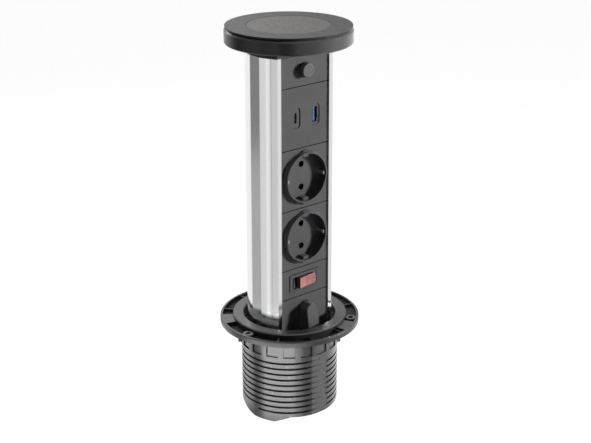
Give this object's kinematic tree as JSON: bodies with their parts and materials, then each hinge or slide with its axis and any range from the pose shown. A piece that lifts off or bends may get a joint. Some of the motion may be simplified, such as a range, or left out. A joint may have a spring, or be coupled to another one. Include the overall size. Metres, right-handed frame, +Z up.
{
  "type": "pop up desk socket",
  "caption": "Round power column that slides up out of a threaded barrel in a desk, with earthed sockets, USB ports, a rocker switch, an overload button and a charging cap.",
  "frame": {"origin": "centre of the flange's underside on the column's axis, in the plane of the desk top that it rests on", "axes": "+Z up along the column, -Y to the front where the sockets face, +X to the right as one looks at the front"},
  "size_m": [0.114, 0.114, 0.3232],
  "materials": {
    "barrel_plastic": "satin",
    "liner_plastic": "matt",
    "anodised_aluminium": "brushed and anodised",
    "steel": "zinc plated",
    "panel_plastic": "satin",
    "inner_plastic": "matt",
    "brass": "bare",
    "tinned_steel": "tinned",
    "board_green": "solder mask",
    "port_blue": "matt",
    "button_plastic": "satin",
    "bezel_plastic": "gloss",
    "rocker_red": "translucent red",
    "latch_plastic": "satin",
    "terminal_plastic": "matt",
    "neck_plastic": "satin",
    "cap_plastic": "satin gloss",
    "pad_skin": "fine matt grain",
    "copper": "enamelled copper"
  },
  "bodies": {
    "barrel": {"mounting_flange": "barrel_plastic", "mounting_barrel": "barrel_plastic", "guide_liner": "liner_plastic"},
    "column": {"column_profile": "anodised_aluminium", "stop_collar": "liner_plastic", "collar_screws": "steel", "socket_lower": "panel_plastic", "socket_upper": "panel_plastic", "contact_block_lower": "inner_plastic", "contact_block_upper": "inner_plastic", "contact_screws": "steel", "live_bar": "brass", "neutral_bar": "brass", "earth_bar": "tinned_steel", "panel_usb": "panel_plastic", "usb_board": "board_green", "usb_board_screws": "steel", "usb_c_port": "tinned_steel", "usb_c_tongue": "inner_plastic", "usb_a_port": "tinned_steel", "usb_a_tongue": "port_blue", "panel_top": "panel_plastic", "breaker_body": "inner_plastic", "breaker_tabs": "brass", "button_spring": "steel", "panel_switch": "panel_plastic", "switch_body": "bezel_plastic", "panel_foot": "panel_plastic", "latch_pin": "steel", "latch_spring": "steel", "terminal_block": "terminal_plastic", "terminal_screws": "steel", "end_cap": "liner_plastic", "end_cap_screws": "steel", "gland_body": "inner_plastic", "gland_locknut": "inner_plastic", "gland_nut": "inner_plastic", "neck": "neck_plastic", "neck_screws": "steel", "cap_base": "cap_plastic", "cap_screws": "steel", "cap_lid": "cap_plastic", "lid_screws": "steel", "charging_pad": "pad_skin", "charging_coil": "copper", "ferrite_sheet": "inner_plastic", "charger_board": "board_green", "charger_lead": "inner_plastic"},
    "latch_lever": {"latch": "latch_plastic"},
    "button": {"overload_button": "button_plastic"},
    "rocker_lever": {"rocker": "rocker_red"}
  },
  "joints": [
    {"name": "column_slide", "type": "slide", "parent": "barrel", "child": "column", "axis": [0, 0, 1], "range_m": [-0.2268, 0]},
    {"name": "latch_pivot", "type": "hinge", "parent": "column", "child": "latch_lever", "pos_m": [0, -0.0135, 0.014], "axis": [1, 0, 0], "range_deg": [0, 8], "stiffness_Nm_per_rad": 0.05, "springref_deg": -11.46, "deforming": ["latch_spring"]},
    {"name": "button_slide", "type": "slide", "parent": "column", "child": "button", "axis": [0, 1, 0], "range_m": [0, 0.003], "stiffness_N_per_m": 400, "springref_m": -0.003, "deforming": ["button_spring"]},
    {"name": "rocker_pivot", "type": "hinge", "parent": "column", "child": "rocker_lever", "pos_m": [0, -0.0173, 0.04], "axis": [0, 0, -1], "range_deg": [0, 14]}
  ]
}
